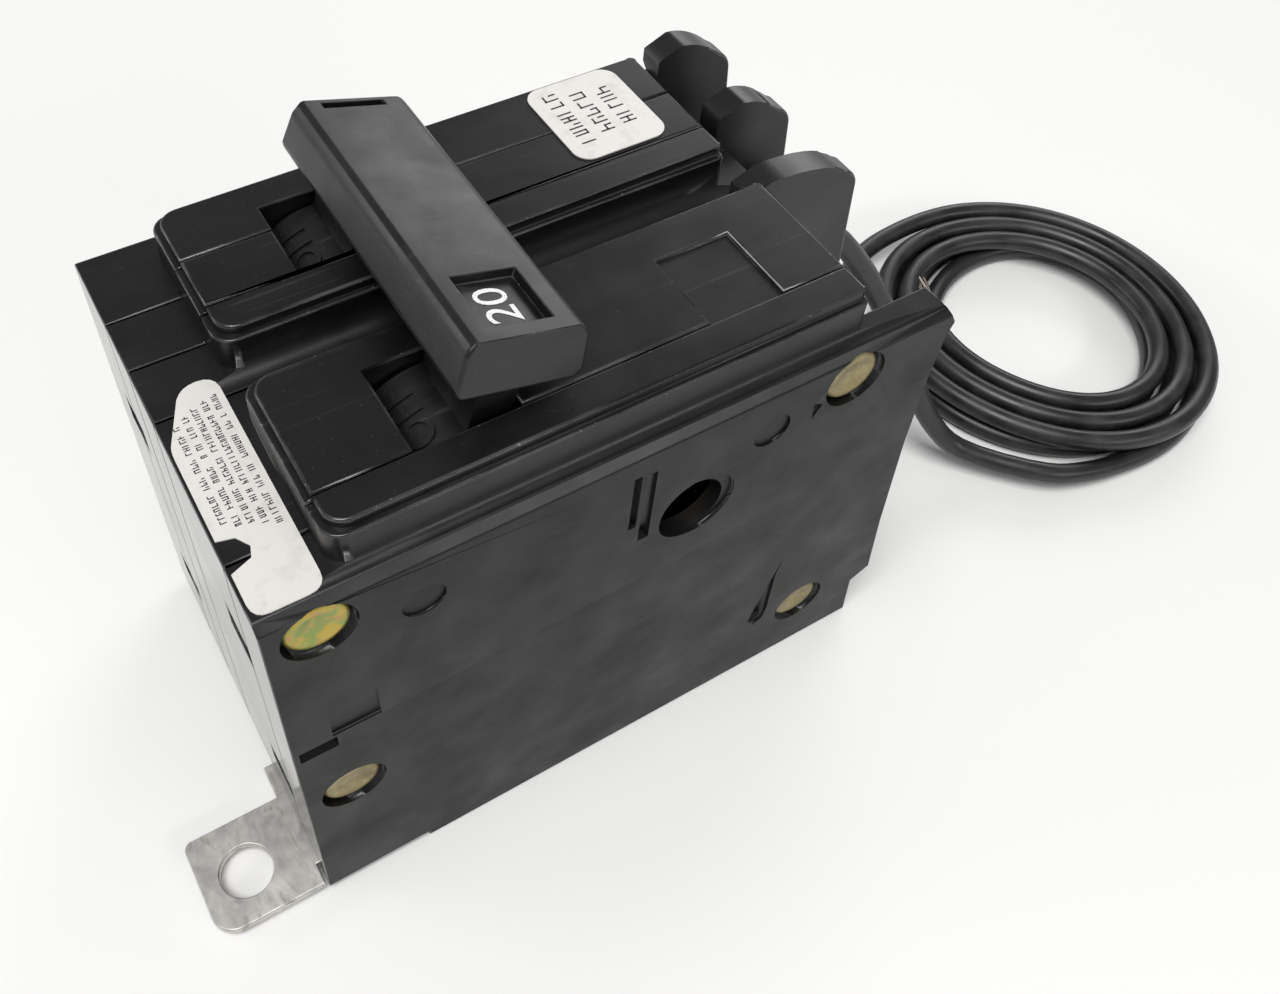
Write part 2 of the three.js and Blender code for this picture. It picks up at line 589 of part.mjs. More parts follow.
const leadStart = bushingEndX + clearance;
const leadRoutes = [
  [[leadStart, leadInY[0], 51], [74, 3.1, 51], [80, 3.0, 50.4], [87, 2.2, 46], [93, 0.2, 38], [98, -3, 28],
    [102.4, -6.4, 17.5], [105.8, -9.9, 9.2], [109.6, -13.6, 4.6]],
  [[leadStart, leadInY[1], 51], [74, 6.5, 51], [80, 6.7, 50.4], [87, 7.5, 46], [93, 9.2, 38], [98, 11.6, 28],
    [102.4, 13.6, 17.5], [105.9, 14.4, 9.4], [109.9, 14.9, 4.8]],
];
leadRoutes.forEach((route, i) => place(`lead_${i + 1}`, sweep(route, leadR, 8, 24), 'rubber'));

const ring = () => {
  const profile = [[coilInnerR, 0.0], [coilOuterR - 1, 0.0], [coilOuterR, 1.4], [coilOuterR, coilHeight - 1.4],
    [coilOuterR - 1, coilHeight], [coilInnerR, coilHeight], [coilInnerR, 0.0]];
  const geometry = new THREE.LatheGeometry(profile.map(([r, z]) => new THREE.Vector2(r, z)), 48);
  geometry.rotateX(Math.PI / 2);
  geometry.translate(coilX, 0, 0);
  return toSolid(geometry);
};
place('lead_coil', ring(), 'rubber');

const part = new THREE.Group();
part.add(breaker);
export default part;
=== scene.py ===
"""Looks of a bolt-on shunt-trip circuit breaker, laid out as an add-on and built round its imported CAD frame."""
import json
import math
import random

import bmesh
import bpy
from bpy.props import FloatProperty, FloatVectorProperty, IntProperty, PointerProperty
from mathutils import Matrix, Vector


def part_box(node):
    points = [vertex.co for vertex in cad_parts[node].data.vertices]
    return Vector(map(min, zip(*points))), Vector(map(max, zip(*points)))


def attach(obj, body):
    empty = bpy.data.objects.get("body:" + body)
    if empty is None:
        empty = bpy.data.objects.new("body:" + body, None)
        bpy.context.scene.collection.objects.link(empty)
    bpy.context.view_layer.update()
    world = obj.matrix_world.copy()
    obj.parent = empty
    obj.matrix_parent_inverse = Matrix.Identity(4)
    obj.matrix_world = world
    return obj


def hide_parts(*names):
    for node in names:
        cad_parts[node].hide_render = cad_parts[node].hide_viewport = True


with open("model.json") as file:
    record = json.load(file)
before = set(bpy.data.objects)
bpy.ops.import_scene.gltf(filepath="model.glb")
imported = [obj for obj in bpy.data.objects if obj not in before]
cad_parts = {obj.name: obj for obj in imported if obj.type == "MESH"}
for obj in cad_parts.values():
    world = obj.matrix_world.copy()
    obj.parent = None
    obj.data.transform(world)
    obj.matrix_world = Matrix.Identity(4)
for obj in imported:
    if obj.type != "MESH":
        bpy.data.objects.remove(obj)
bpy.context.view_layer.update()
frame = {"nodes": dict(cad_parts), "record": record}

bl_info = {
    "name": "Shunt-trip breaker",
    "version": (1, 0, 0),
    "blender": (4, 5, 0),
    "location": "View3D > Sidebar > Breaker",
    "description": "Finishes, leads, legends and labels of a two-module shunt-trip breaker",
    "category": "Object",
}

MM = 0.001
SHELLS = [
    "breaker_pole_cover", "breaker_pole_base", "shunt_pole_cover", "shunt_pole_spacer", "shunt_pole_base",
]
RIVETS = ["rivet_1", "rivet_2", "rivet_3", "rivet_4"]
COVER_LOW, COVER_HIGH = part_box("breaker_pole_cover")
FAR_LOW, FAR_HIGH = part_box("shunt_pole_base")
LABEL_LOW, LABEL_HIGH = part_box("rating_label")
POLE_LABEL_LOW, POLE_LABEL_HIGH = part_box("pole_label")
LINE_END_X = COVER_LOW.x
SIDE_Y = FAR_HIGH.y
PLATFORM_Z = COVER_HIGH.z
SHELF_Z = LABEL_LOW.z
HANDLE_PIVOT = Vector(next(j for j in frame["record"]["behaviour"]["joints"] if j["name"] == "handle_throw")["pos_m"])
HANDLE_TILT = math.radians(16)
DRUM_RADIUS = 8.2 * MM


def at(x, y, z):
    """A point given in millimetres: from the line-end face, from the pole boundary and from the base."""
    return Vector((LINE_END_X + x * MM, y * MM, z * MM))


# ---------------------------------------------------------------- colour and node helpers
def linear(hex_colour):
    """An sRGB hex colour as linear red, green and blue."""
    values = [int(hex_colour[i:i + 2], 16) / 255 for i in (1, 3, 5)]
    return tuple(v / 12.92 if v <= 0.04045 else ((v + 0.055) / 1.055) ** 2.4 for v in values)


def rgba(colour):
    return (*colour, 1.0)


def add_node(tree, kind, settings=None, **links):
    """Adds a node, sets its attributes, and sets or links its sockets: a socket is named by its name, or by its
    number after an underscore."""
    node = tree.nodes.new(kind)
    for key, value in (settings or {}).items():
        setattr(node, key, value)
    for key, value in links.items():
        socket = node.inputs[int(key[1:])] if key.startswith("_") else node.inputs[key.replace("_", " ")]
        if isinstance(value, bpy.types.NodeSocket):
            tree.links.new(value, socket)
        else:
            socket.default_value = value
    return node


def new_material(name):
    """An empty node material with its output and Principled shader, and the object's own coordinates in metres."""
    material = bpy.data.materials.new(name)
    material.use_nodes = True
    tree = material.node_tree
    tree.nodes.clear()
    output = tree.nodes.new("ShaderNodeOutputMaterial")
    shader = tree.nodes.new("ShaderNodeBsdfPrincipled")
    tree.links.new(shader.outputs["BSDF"], output.inputs["Surface"])
    where = tree.nodes.new("ShaderNodeTexCoord").outputs["Object"]
    return material, tree, shader, where


def noise(tree, where, size_mm, detail=3.0, roughness=0.55, distortion=0.0):
    """Noise whose features are about size_mm across."""
    return add_node(
        tree, "ShaderNodeTexNoise", Vector=where, Scale=1 / (size_mm * MM), Detail=detail,
        Roughness=roughness, Distortion=distortion,
    ).outputs["Fac"]


def remap(tree, value, low, high, to_low, to_high):
    return add_node(
        tree, "ShaderNodeMapRange", _0=value, _1=low, _2=high, _3=to_low, _4=to_high,
    ).outputs["Result"]


def stretched(tree, where, scale, turn=(0, 0, 0)):
    return add_node(tree, "ShaderNodeMapping", _0=where, Rotation=turn, Scale=scale).outputs["Vector"]


def scratches(tree, where, turn, length_mm=14.0, width_mm=0.16, share=0.66):
    """Fine straight scratches: noise drawn out along one direction and cut high."""
    along = stretched(tree, where, (width_mm / length_mm, 1.0, 1.0), turn)
    fine = noise(tree, along, width_mm * 4, detail=2.0)
    return remap(tree, fine, share, share + 0.05, 0.0, 1.0)


def mix_colour(tree, factor, first, second):
    node = add_node(tree, "ShaderNodeMix", {"data_type": "RGBA"}, _0=factor)
    for index, value in ((6, first), (7, second)):
        if isinstance(value, bpy.types.NodeSocket):
            tree.links.new(value, node.inputs[index])
        else:
            node.inputs[index].default_value = rgba(value)
    return node.outputs[2]


def math_node(tree, operation, first, second):
    return add_node(tree, "ShaderNodeMath", {"operation": operation}, _0=first, _1=second).outputs[0]


def bump(tree, height, strength, distance_mm, normal=None):
    node = add_node(tree, "ShaderNodeBump", Height=height, Strength=strength, Distance=distance_mm * MM)
    if normal:
        tree.links.new(normal, node.inputs["Normal"])
    return node.outputs["Normal"]


# ---------------------------------------------------------------- materials
def phenolic(name, colour, dust_and_sheen_colour, gloss, dust_and_sheen, skin=1.0, ior=1.5):
    """Compression-moulded black phenolic: satin with a faint orange-peel skin, dulled where it has been rubbed,
    with grey dusting in patches and hair-fine scratches. The rubbed-edge and line-end copies pass a pale second
    colour, so there the patches and scratches are painted highlight and painted reflection."""
    material, tree, shader, where = new_material(name)
    patches = noise(tree, where, 8.0, detail=5.0, roughness=0.6)
    smear = noise(tree, stretched(tree, where, (0.4, 1.0, 1.0), (0, 0, 0.5)), 6.0, detail=3.0, distortion=0.6)
    specks = remap(tree, noise(tree, where, 0.45, detail=1.0), 0.72, 0.77, 0.0, 1.0)
    lines = math_node(
        tree, "MAXIMUM", scratches(tree, where, (0.3, 0.2, 0.7)), scratches(tree, where, (1.1, 0.9, -0.6)),
    )
    wear = math_node(tree, "MULTIPLY", lines, remap(tree, patches, 0.45, 0.62, 0.0, 1.0))
    film = math_node(tree, "MULTIPLY", remap(tree, smear, 0.42, 0.80, 0.0, 1.0), dust_and_sheen)
    marks = math_node(tree, "MULTIPLY", math_node(tree, "MAXIMUM", specks, wear), 0.30)
    # Towards the second colour: grey dusting on the top and side shells, painted highlight on rubbed edges, painted
    # reflection on the line end.
    base = mix_colour(tree, math_node(tree, "ADD", film, marks), colour, dust_and_sheen_colour)
    tree.links.new(base, shader.inputs["Base Color"])
    rough = remap(tree, patches, 0.3, 0.7, gloss * 0.82, gloss * 1.25)
    rubbed = math_node(tree, "MULTIPLY", smear, gloss * 0.25)
    tree.links.new(math_node(tree, "ADD", rough, rubbed), shader.inputs["Roughness"])
    peel = bump(tree, noise(tree, where, 1.1, detail=2.0), 0.22 * skin, 0.02)
    grain = bump(tree, noise(tree, where, 0.18, detail=1.0), 0.14 * skin, 0.01, peel)
    tree.links.new(bump(tree, wear, 0.2 * skin, 0.01, grain), shader.inputs["Normal"])
    shader.inputs["IOR"].default_value = ior
    return material


def tinned_copper(name):
    """Hot-tinned copper strap: soft dull silver with finger marks and brown where the tin has rubbed thin."""
    material, tree, shader, where = new_material(name)
    cloud = noise(tree, where, 4.0, detail=5.0, roughness=0.62)
    marks = noise(tree, stretched(tree, where, (1.0, 0.3, 1.0), (0, 0, 0.4)), 2.2, detail=4.0, distortion=1.5)
    pale = mix_colour(tree, remap(tree, cloud, 0.35, 0.65, 0.0, 1.0), linear("#b4b2ad"), linear("#d6d4ce"))
    dull = mix_colour(tree, remap(tree, marks, 0.56, 0.70, 0.0, 0.75), pale, linear("#8d857b"))
    tree.links.new(dull, shader.inputs["Base Color"])
    tree.links.new(remap(tree, marks, 0.3, 0.7, 0.34, 0.56), shader.inputs["Roughness"])
    tree.links.new(bump(tree, noise(tree, where, 0.35, detail=3.0), 0.22, 0.02), shader.inputs["Normal"])
    shader.inputs["Metallic"].default_value = 0.85
    return material


def metal(name, light, dark, roughness, grain_mm=0.3, metallic=1.0):
    """A worked metal: slow colour change from the surface treatment over fine tool grain."""
    material, tree, shader, where = new_material(name)
    cloud = noise(tree, where, 2.4, detail=4.0)
    colour = mix_colour(tree, remap(tree, cloud, 0.35, 0.68, 0.0, 1.0), light, dark)
    tree.links.new(colour, shader.inputs["Base Color"])
    grain = noise(tree, where, grain_mm, detail=2.0)
    tree.links.new(remap(tree, grain, 0.3, 0.7, roughness - 0.08, roughness + 0.10), shader.inputs["Roughness"])
    tree.links.new(bump(tree, grain, 0.2, 0.02), shader.inputs["Normal"])
    shader.inputs["Metallic"].default_value = metallic
    return material


def yellow_chromate(name):
    """Yellow chromate over zinc: gold that drifts to green and rose, blotchy."""
    material, tree, shader, where = new_material(name)
    film = noise(tree, where, 1.6, detail=3.0, distortion=0.6)
    gold = mix_colour(tree, remap(tree, film, 0.40, 0.60, 0.0, 1.0), linear("#b9a24c"), linear("#8fa05a"))
    rose = mix_colour(tree, remap(tree, noise(tree, where, 1.1), 0.55, 0.68, 0.0, 0.7), gold, linear("#b98a62"))
    tree.links.new(rose, shader.inputs["Base Color"])
    tree.links.new(remap(tree, film, 0.3, 0.7, 0.30, 0.50), shader.inputs["Roughness"])
    tree.links.new(bump(tree, noise(tree, where, 0.3), 0.25, 0.02), shader.inputs["Normal"])
    shader.inputs["Metallic"].default_value = 0.7
    return material


def pvc(name):
    """Extruded black PVC insulation: soft sheen, a fine bumpy skin and a grey bloom."""
    material, tree, shader, where = new_material(name)
    bloom = noise(tree, where, 5.0, detail=4.0)
    colour = mix_colour(tree, remap(tree, bloom, 0.4, 0.7, 0.0, 0.6), linear("#1a1a1b"), linear("#38383a"))
    tree.links.new(colour, shader.inputs["Base Color"])
    tree.links.new(remap(tree, bloom, 0.3, 0.7, 0.30, 0.46), shader.inputs["Roughness"])
    tree.links.new(bump(tree, noise(tree, where, 0.5, detail=2.0), 0.18, 0.03), shader.inputs["Normal"])
    shader.inputs["IOR"].default_value = 1.53
    return material


def film_label(name):
    """White printed film: slightly warm, semi-matt, with handling dirt in patches."""
    material, tree, shader, where = new_material(name)
    dirt = noise(tree, where, 2.5, detail=5.0, roughness=0.65)
    colour = mix_colour(tree, remap(tree, dirt, 0.52, 0.75, 0.0, 0.5), linear("#dedbd6"), linear("#b9b3a8"))
    tree.links.new(colour, shader.inputs["Base Color"])
    tree.links.new(remap(tree, dirt, 0.3, 0.7, 0.42, 0.58), shader.inputs["Roughness"])
    tree.links.new(bump(tree, noise(tree, where, 1.5), 0.12, 0.03), shader.inputs["Normal"])
    return material


def printed_ink(name, colour, roughness=0.5):
    """Screen-printed ink, slightly uneven in cover."""
    material, tree, shader, where = new_material(name)
    cover = noise(tree, where, 0.25, detail=2.0)
    shade = mix_colour(tree, remap(tree, cover, 0.45, 0.75, 0.0, 0.35), colour, linear("#77746f"))
    tree.links.new(shade, shader.inputs["Base Color"])
    shader.inputs["Roughness"].default_value = roughness
    return material


def moulded(name, colour, shade, roughness):
    """A plain moulded or pressed insulating piece with slow mottling and a fine matt grain."""
    material, tree, shader, where = new_material(name)
    mottle = noise(tree, where, 1.8, detail=4.0)
    tree.links.new(
        mix_colour(tree, remap(tree, mottle, 0.35, 0.7, 0.0, 1.0), colour, shade), shader.inputs["Base Color"],
    )
    tree.links.new(
        remap(tree, mottle, 0.3, 0.7, roughness - 0.06, roughness + 0.08), shader.inputs["Roughness"],
    )
    tree.links.new(bump(tree, noise(tree, where, 0.2), 0.2, 0.02), shader.inputs["Normal"])
    return material


def winding_wire(name):
    """Enamelled copper wire wound in close layers: fine ridges round the bobbin, amber varnish, painted darker in the
    grooves and lighter on the crests as painted shade and highlight.
    """
    material, tree, shader, where = new_material(name)
    along = add_node(tree, "ShaderNodeSeparateXYZ", Vector=where).outputs["X"]
    turns = math_node(tree, "SINE", math_node(tree, "MULTIPLY", along, 2 * math.pi / (0.35 * MM)), 0.0)
    # Colour follows the ridge height: painted shade in the grooves between turns, painted highlight on the crests.
    shade = mix_colour(tree, remap(tree, turns, -1, 1, 0, 1), linear("#4a1f10"), linear("#a8552c"))
    tree.links.new(shade, shader.inputs["Base Color"])
    tree.links.new(bump(tree, turns, 0.6, 0.1), shader.inputs["Normal"])
    shader.inputs["Metallic"].default_value = 0.6
    shader.inputs["Roughness"].default_value = 0.35
    return material


# ---------------------------------------------------------------- mesh helpers
def make_object(name, bm, materials, body="case", replaced=(), bevel_normals=True):
    """Makes a mesh object of bm, at the origin, and lets it ride on a body."""
    if bevel_normals:
        bmesh.ops.dissolve_limit(bm, angle_limit=math.radians(0.4), verts=bm.verts, edges=bm.edges, delimit={"MATERIAL"})
    mesh = bpy.data.meshes.new(name)
    bm.to_mesh(mesh)
    bm.free()
    piece = bpy.data.objects.new(name, mesh)
    bpy.context.scene.collection.objects.link(piece)
    for material in materials:
        mesh.materials.append(material)
    mesh.shade_smooth()
    mesh.set_sharp_from_angle(angle=math.radians(40))
    if bevel_normals:
        normals = piece.modifiers.new("flat_faces", "WEIGHTED_NORMAL")
        normals.keep_sharp = True
        normals.weight = 100
    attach(piece, body)
    if replaced:
        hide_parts(*replaced)
    return piece


def welded_copy(node):
    """The CAD node's shape as a bmesh, its loose triangles joined and its flat faces cut into few triangles."""
    bm = bmesh.new()
    bm.from_mesh(frame["nodes"][node].data)
    bmesh.ops.remove_doubles(bm, verts=bm.verts, dist=1.5e-6)
    bmesh.ops.dissolve_limit(bm, angle_limit=math.radians(0.6), verts=bm.verts, edges=bm.edges)
    bmesh.ops.triangulate(bm, faces=bm.faces, quad_method="BEAUTY", ngon_method="BEAUTY")
    return bm


def folded_area(bm):
    """Area of the triangles that look against their own face."""
    bm.normal_update()
    area = 0.0
    for corners in bm.calc_loop_triangles():
        first, second, third = (corner.vert.co for corner in corners)
        normal = (second - first).cross(third - first)
        if normal.dot(corners[0].face.normal) < 0:
            area += normal.length / 2
    return area


def edge_chains(edges):
    """The edges sorted into groups that touch end to end."""
    left = set(edges)
    chains = []
    while left:
        chain = [left.pop()]
        for edge in chain:
            for vert in edge.verts:
                more = [other for other in vert.link_edges if other in left]
                left.difference_update(more)
                chain += more
        chains.append(chain)
    return chains


def round_edges(bm, edges, width, segments, material):
    bmesh.ops.bevel(
        bm, geom=edges, offset=width, offset_type="OFFSET", affect="EDGES", segments=segments, profile=0.5,
        clamp_overlap=False, material=material,
    )


def soften(bm, pick, width_mm, segments=2, material=-1, angle=28):
    """Rounds the edges that pick accepts and that are sharper than angle. Each chain of edges takes the widest
    round, up to width_mm, that folds no face over its neighbour."""
    sharp = [
        edge for edge in bm.edges
        if len(edge.link_faces) == 2 and edge.calc_face_angle(0) > math.radians(angle) and pick(edge)
    ]
    for chain in sorted(edge_chains(sharp), key=len):
        chain = [edge for edge in chain if edge.is_valid]
        for share in (1.0, 0.7, 0.45, 0.25, 0.12):
            bm.edges.index_update()
            picked = [edge.index for edge in chain]
            trial = bm.copy()
            trial.edges.ensure_lookup_table()
            round_edges(trial, [trial.edges[i] for i in picked], width_mm * MM * share, segments, material)
            clean = folded_area(trial) < 1e-9
            trial.free()
            if clean:
                round_edges(bm, chain, width_mm * MM * share, segments, material)
                break


def middle(edge):
    return (edge.verts[0].co + edge.verts[1].co) / 2


def near(value, target, reach_mm=0.05):
    return abs(value - target) < reach_mm * MM


def both(edge, axis, target, reach_mm=0.05):
    """True where both ends of the edge lie at target along axis."""
    return all(near(vert.co[axis], target, reach_mm) for vert in edge.verts)


def turned(bm, profile, centre, segments=32):
    """Spins a profile of (radius, height) pairs, in metres, that starts and ends on the axis, round Y."""
    first = [bm.verts.new(centre + Vector((r, h, 0))) for r, h in profile]
    edges = [bm.edges.new(pair) for pair in zip(first, first[1:])]
    bmesh.ops.spin(
        bm, geom=first + edges, cent=centre, axis=(0, 1, 0), angle=2 * math.pi, steps=segments, use_merge=True,
    )
    bmesh.ops.remove_doubles(bm, verts=bm.verts, dist=1e-7)
    bmesh.ops.recalc_face_normals(bm, faces=bm.faces)


def text_bmesh(body, size_mm, depth_mm, place, weight_mm=0.0):
    """Text as a closed mesh: its middle at place's origin, reading along place's X, standing along place's Z."""
    curve = bpy.data.curves.new("legend", "FONT")
    curve.body = body
    curve.size = size_mm * MM
    curve.extrude = depth_mm * MM / 2
    curve.offset = weight_mm * MM
    curve.align_x = "CENTER"
    curve.align_y = "CENTER"
    curve.resolution_u = 4
    holder = bpy.data.objects.new("legend", curve)
    bpy.context.scene.collection.objects.link(holder)
    bpy.context.view_layer.update()
    mesh = bpy.data.meshes.new_from_object(holder.evaluated_get(bpy.context.evaluated_depsgraph_get()))
    bpy.data.objects.remove(holder)
    bpy.data.curves.remove(curve)
    bm = bmesh.new()
    bm.from_mesh(mesh)
    bpy.data.meshes.remove(mesh)
    bmesh.ops.remove_doubles(bm, verts=bm.verts, dist=1e-7)
    bm.transform(place)
    return bm


def join_bmesh(whole, part):
    """Adds part's faces to whole."""
    mesh = bpy.data.meshes.new("part")
    part.to_mesh(mesh)
    part.free()
    whole.from_mesh(mesh)
    bpy.data.meshes.remove(mesh)


# ---------------------------------------------------------------- settings
class BreakerSettings(bpy.types.PropertyGroup):
    """Sizes and colours of the finish."""

    edge_round: FloatProperty(
        name="Edge rounding", description="Radius of the case's moulded edges", default=0.3 * MM, unit="LENGTH",
    )
    handle_round: FloatProperty(
        name="Handle rounding", description="Radius of the handle bar's edges", default=0.7 * MM, unit="LENGTH",
    )
    lead_diameter: FloatProperty(
        name="Lead diameter", description="Outside of the leads' insulation", default=3.2 * MM, unit="LENGTH",
    )
    lead_length: FloatProperty(
        name="Lead length", description="Each lead with its stripped end", default=508 * MM, unit="LENGTH",
    )
    strip_length: FloatProperty(
        name="Stripped length", description="Bare strands at each lead's end", default=9 * MM, unit="LENGTH",
    )
    strands: IntProperty(name="Strands", description="Bare strands drawn in each lead", default=9, min=3)
    case_colour: FloatVectorProperty(
        name="Case", description="Phenolic of the shells", subtype="COLOR", default=linear("#0e0d0e"),
    )
    case_dust: FloatVectorProperty(
        name="Dust", description="Rubbed and dusty phenolic", subtype="COLOR", default=linear("#454241"),
    )
    floor_colour: FloatVectorProperty(
        name="Floor", description="Pale floor", subtype="COLOR", default=linear("#f4f3f1"),
    )


def settings():
    return bpy.context.scene.breaker


def link(thing):
    bpy.context.scene.collection.objects.link(thing)
    return thing


# ---------------------------------------------------------------- stage
class BREAKER_OT_stage(bpy.types.Operator):
    """Adds the camera, the pale floor and soft studio light"""

    bl_idname = "breaker.stage"
    bl_label = "Stage"

    def execute(self, context):
        self.camera(context)
        self.floor()
        self.lights(context)
        return {"FINISHED"}

    def camera(self, context):
        azimuth, elevation, roll = (math.radians(a) for a in (-32.85, 50.12, 3.12))
        back = Vector((
            math.sin(azimuth) * math.cos(elevation), -math.cos(azimuth) * math.cos(elevation), math.sin(elevation),
        ))
        right = Vector((math.cos(azimuth), math.sin(azimuth), 0))
        up = back.cross(right)
        right_turned = math.cos(roll) * right + math.sin(roll) * up
        up_turned = -math.sin(roll) * right + math.cos(roll) * up
        data = bpy.data.cameras.new("camera")
        data.sensor_width = 36
        data.lens = 35.73
        data.shift_x = 0.0674
        data.shift_y = -0.0850
        data.clip_start = 0.005
        camera = link(bpy.data.objects.new("camera", data))
        turn = Matrix((right_turned, up_turned, back)).transposed().to_4x4()
        camera.matrix_world = Matrix.Translation(at(-7.75, -80.69, 157.16)) @ turn
        context.scene.camera = camera
        context.scene.view_settings.view_transform = "Standard"

    def floor(self):
        bm = bmesh.new()
        bmesh.ops.create_grid(bm, x_segments=1, y_segments=1, size=3.0)
        bmesh.ops.translate(bm, verts=bm.verts, vec=(0, 0, -0.00015))
        mesh = bpy.data.meshes.new("floor")
        bm.to_mesh(mesh)
        bm.free()
        floor = link(bpy.data.objects.new("floor", mesh))
        material, tree, shader, where = new_material("floor_paper")
        shader.inputs["Base Color"].default_value = rgba(settings().floor_colour)
        shader.inputs["Roughness"].default_value = 0.75
        mesh.materials.append(material)

    def lights(self, context):
        world = bpy.data.worlds.new("studio")
        world.use_nodes = True
        background = world.node_tree.nodes["Background"]
        background.inputs["Color"].default_value = rgba(linear("#f1f3f6"))
        background.inputs["Strength"].default_value = 0.31
        context.scene.world = world
        panels = [
            ("overhead", (-0.25, -0.20, 0.90), (0.45, 0.45), 6.6),
            ("far_wall", (0.66, 0.50, 0.40), (0.55, 0.30), 1.9),
            ("front_strip", (0.32, -0.80, 0.52), (0.6, 0.10), 1.5),
            ("rear_left", (-0.72, 0.50, 0.34), (0.45, 0.16), 1.4),
        ]
        target = Vector((0.01, 0, 0.04))
        for name, place, size, power in panels:
            data = bpy.data.lights.new(name, "AREA")
            data.shape = "RECTANGLE"
            data.size, data.size_y = size
            data.energy = power
            light = link(bpy.data.objects.new(name, data))
            aim = (Vector(place) - target).to_track_quat("Z", "Y")
            light.matrix_world = Matrix.Translation(place) @ aim.to_matrix().to_4x4()


# ---------------------------------------------------------------- leads
COIL_CENTRE = (140.0, 0.0)
LEAD_ROUTES = [
    [(68.9, 3.1, 51), (74, 3.1, 51), (80, 3.0, 50.4), (87, 2.2, 46), (93, 0.2, 38), (98, -3, 28),
     (102.4, -6.4, 17.5), (105.8, -9.9, 9.2), (109.6, -13.6, 4.6)],
    [(68.9, 6.5, 51), (74, 6.5, 51), (80, 6.7, 50.4), (87, 7.5, 46), (93, 9.2, 38), (98, 11.6, 28),
     (102.4, 13.6, 17.5), (105.9, 14.4, 9.4), (109.9, 14.9, 4.8)],
]
LEAD_LAYERS = [
    {"height": 1.65, "way": 1, "radius": 28.6, "pitch": 3.75, "aside": 0.7, "aside_towards": 0.6, "oval": 0.9,
     "oval_along": 0.5},
    {"height": 5.05, "way": -1, "radius": 28.4, "pitch": 3.85, "aside": 0.8, "aside_towards": 3.4, "oval": 1.1,
     "oval_along": 2.1},
]


def smooth_path(points, per_span):
    """Centripetal Catmull-Rom points through the given ones."""
    knots = [Vector(p) for p in points]
    knots = [2 * knots[0] - knots[1]] + knots + [2 * knots[-1] - knots[-2]]
    path = []
    for p0, p1, p2, p3 in zip(knots, knots[1:], knots[2:], knots[3:]):
        t1 = (p1 - p0).length ** 0.5
        t2 = t1 + (p2 - p1).length ** 0.5
        t3 = t2 + (p3 - p2).length ** 0.5
        for step in range(per_span):
            t = t1 + (t2 - t1) * step / per_span
            a1 = p0.lerp(p1, t / t1)
            a2 = p1.lerp(p2, (t - t1) / (t2 - t1))
            a3 = p2.lerp(p3, (t - t2) / (t3 - t2))
            b1 = a1.lerp(a2, t / t2)
            b2 = a2.lerp(a3, (t - t1) / (t3 - t1))
            path.append(b1.lerp(b2, (t - t1) / (t2 - t1)))
    path.append(knots[-2])
    return path


def coil_turns(route, layer, turns, steps=30):
    """Points of the coil that goes on from a route's end: it settles into its layer and spirals inwards, off
    centre and out of round, in a way that neighbouring turns share."""
    end = Vector(route[-1])
    centre = Vector((*COIL_CENTRE, 0))
    start_angle = math.atan2(end.y - centre.y, end.x - centre.x)
    start_radius = math.hypot(end.x - centre.x, end.y - centre.y)
    points = []
    for step in range(2, int(steps * turns) + 1):
        done = step / steps
        angle = start_angle + layer["way"] * 2 * math.pi * done
        entry = min(done / 0.16, 1.0)
        entry = entry * entry * (3 - 2 * entry)
        spiral = layer["radius"] - layer["pitch"] * done
        aside = layer["aside"] * math.cos(angle - layer["aside_towards"])
        oval = layer["oval"] * math.cos(2 * (angle - layer["oval_along"])) + 0.3 * math.sin(3 * angle)
        radius = start_radius + (spiral + aside + oval - start_radius) * entry
        height = end.z + (layer["height"] - end.z) * entry
        points.append(Vector((
            centre.x + radius * math.cos(angle), centre.y + radius * math.sin(angle), height,
        )))
    return points


def lead_path(index, length):
    """One lead's whole centreline, in millimetres, cut to its length."""
    route = LEAD_ROUTES[index]
    turns = coil_turns(route, LEAD_LAYERS[index], 3.6)
    path = smooth_path([*route, *turns], 4)
    cut = [path[0]]
    gone = 0.0
    for a, b in zip(path, path[1:]):
        step = (b - a).length
        if gone + step >= length:
            cut.append(a.lerp(b, (length - gone) / step))
            break
        gone += step
        cut.append(b)
    return cut


def curve_object(name, lines, radius, material):
    curve = bpy.data.curves.new(name, "CURVE")
    curve.dimensions = "3D"
    curve.bevel_depth = radius
    curve.bevel_resolution = 3
    curve.use_fill_caps = True
    for line in lines:
        spline = curve.splines.new("POLY")
        spline.points.add(len(line) - 1)
        for point, place in zip(spline.points, line):
            point.co = (*place, 1)
    curve.materials.append(material)
    return link(bpy.data.objects.new(name, curve))


def strand_lines(start, along, length, count, lead_radius, rng):
    """Centre lines of the bare strands: a twisted bunch that spreads a little towards its tip."""
    side = along.cross(Vector((0, 0, 1))).normalized()
    rise = side.cross(along)
    lines = []
    for number in range(count):
        ring = 0.0 if number == 0 else lead_radius * (0.34 if number < 4 else 0.62)
        phase = 2 * math.pi * number / max(count - 1, 1) + rng.uniform(-0.2, 0.2)
        own = length * rng.uniform(0.86, 1.0)
        spread = rng.uniform(0.9, 1.5)
        line = []
        for step in range(9):
            t = step / 8
            angle = phase + 1.9 * t
            reach = ring * (1 + (spread - 1) * t)
            low = max(rise.dot(Vector((0, 0, 1))), 0)
            place = start + along * own * t
            place += side * reach * math.cos(angle) + rise * reach * 0.8 * math.sin(angle) * (0.4 + 0.6 * low)
            line.append(place)
        lines.append(line)
    return lines


